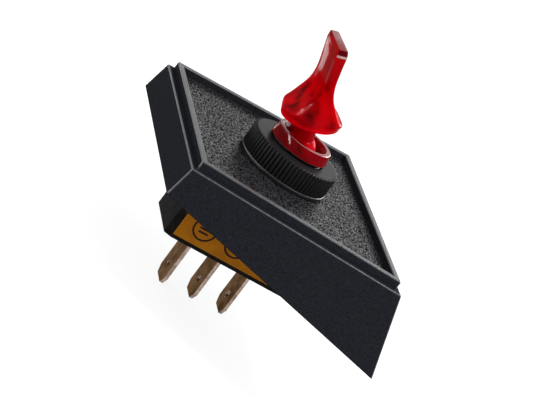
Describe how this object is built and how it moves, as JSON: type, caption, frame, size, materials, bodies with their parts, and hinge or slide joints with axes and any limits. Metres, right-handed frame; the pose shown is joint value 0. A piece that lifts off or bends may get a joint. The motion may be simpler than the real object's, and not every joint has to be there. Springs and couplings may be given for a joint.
{
  "type": "duckbill toggle switch",
  "caption": "Lighted duckbill toggle switch with a clear red lever, held by a ribbed ring nut in a sloping black bracket, with blade terminals below.",
  "frame": {"origin": "centre of the bracket's foot, on the plane it is mounted against", "axes": "+Z away from the foot, +X from the low end of the wedge to the high end, +Y across"},
  "size_m": [0.0552, 0.0602, 0.0604],
  "materials": {
    "bracket_plastic": "moulded, fine grain on the panel",
    "nut_plastic": "satin moulded",
    "case_plastic": "satin moulded",
    "label_film": "printed film",
    "red_clear": "clear tinted, polished",
    "brass": "plain",
    "led_resin": "clear tinted",
    "spring_steel": "drawn wire",
    "copper": "stamped",
    "silver": "plain",
    "blade_metal": "tarnished, stamped",
    "board": "phenolic board",
    "resistor_body": "lacquered"
  },
  "bodies": {
    "base": {"bracket": "bracket_plastic", "ring_nut": "nut_plastic", "case": "case_plastic", "label": "label_film", "collar": "red_clear", "fixed_contact": "silver", "supply_terminal": "blade_metal", "load_terminal": "blade_metal", "earth_terminal": "blade_metal", "terminal_board": "board", "resistor": "resistor_body", "earth_strip": "brass"},
    "lever": {"lever": "red_clear", "pivot_pins": "brass", "led": "led_resin", "led_contact": "brass", "plunger_spring": "spring_steel"},
    "plunger": {"plunger": "brass"},
    "rocker": {"rocker": "copper", "moving_contact": "silver"}
  },
  "joints": [
    {"name": "lever_swing", "type": "hinge", "parent": "base", "child": "lever", "pos_m": [-0.00513, 0, 0.01767], "axis": [0, 1, 0], "range_deg": [0, 33]},
    {"name": "plunger_slide", "type": "slide", "parent": "lever", "child": "plunger", "axis": [-0.4648, 0, 0.8854], "range_m": [0, 0.0008], "stiffness_N_per_m": 60, "springref_m": -0.001, "deforming": ["plunger_spring"]},
    {"name": "rocker_tilt", "type": "hinge", "parent": "base", "child": "rocker", "pos_m": [-0.002, 0, 0.00183], "axis": [0, 1, 0], "range_deg": [-12, 0]}
  ],
  "couplings": [
    {"joint": "rocker_tilt", "follows": "lever_swing", "ratio": -0.36364}
  ]
}
